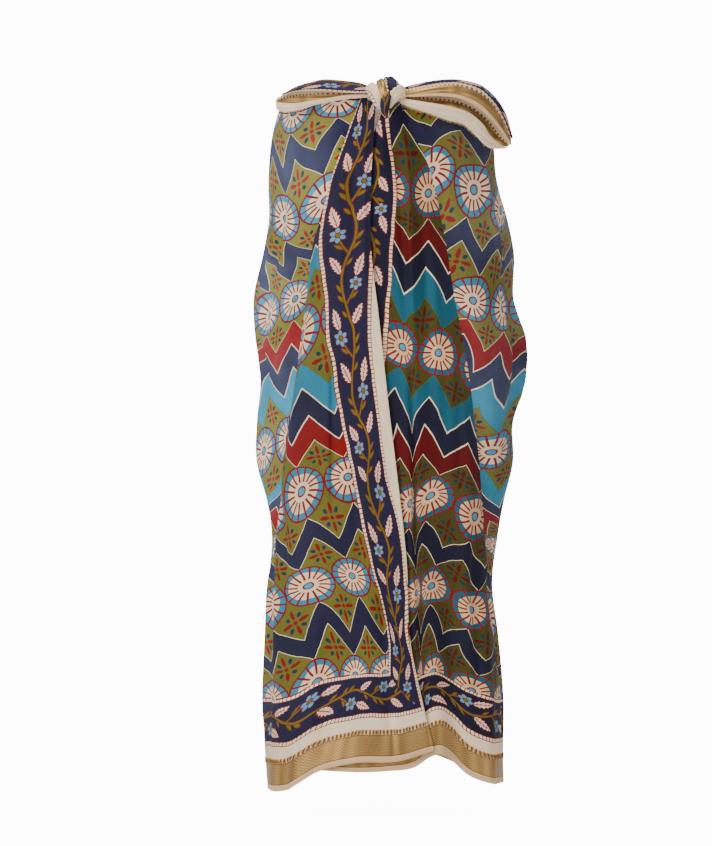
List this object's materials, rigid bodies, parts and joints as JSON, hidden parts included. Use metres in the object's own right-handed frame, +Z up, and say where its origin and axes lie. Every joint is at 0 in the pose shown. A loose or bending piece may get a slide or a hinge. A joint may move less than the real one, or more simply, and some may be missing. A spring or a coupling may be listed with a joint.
{
  "type": "sarong, worn and knotted at the waist",
  "caption": "Thin printed sarong wrapped once round the hips and knotted in front, in its worn hollow shape, with zigzag bands, rosettes and a gold-edged leafy border",
  "frame": {"origin": "the middle of the waist, where the wearer holds the sarong up", "axes": "+Z up, -Y the front with the knot, +X the right as one faces the front"},
  "size_m": [0.3565, 0.2655, 0.9297],
  "materials": {
    "printed_cloth": "thin printed cotton and silk, soft sheen",
    "border_cloth": "thin printed cotton and silk with a woven gold band"
  },
  "bodies": {
    "root": {"front_over": "printed_cloth", "left_side": "printed_cloth", "back": "printed_cloth", "right_side": "printed_cloth", "front_under": "printed_cloth", "knot": "border_cloth", "tie_end_left": "border_cloth", "tie_end_right": "border_cloth"}
  },
  "joints": []
}
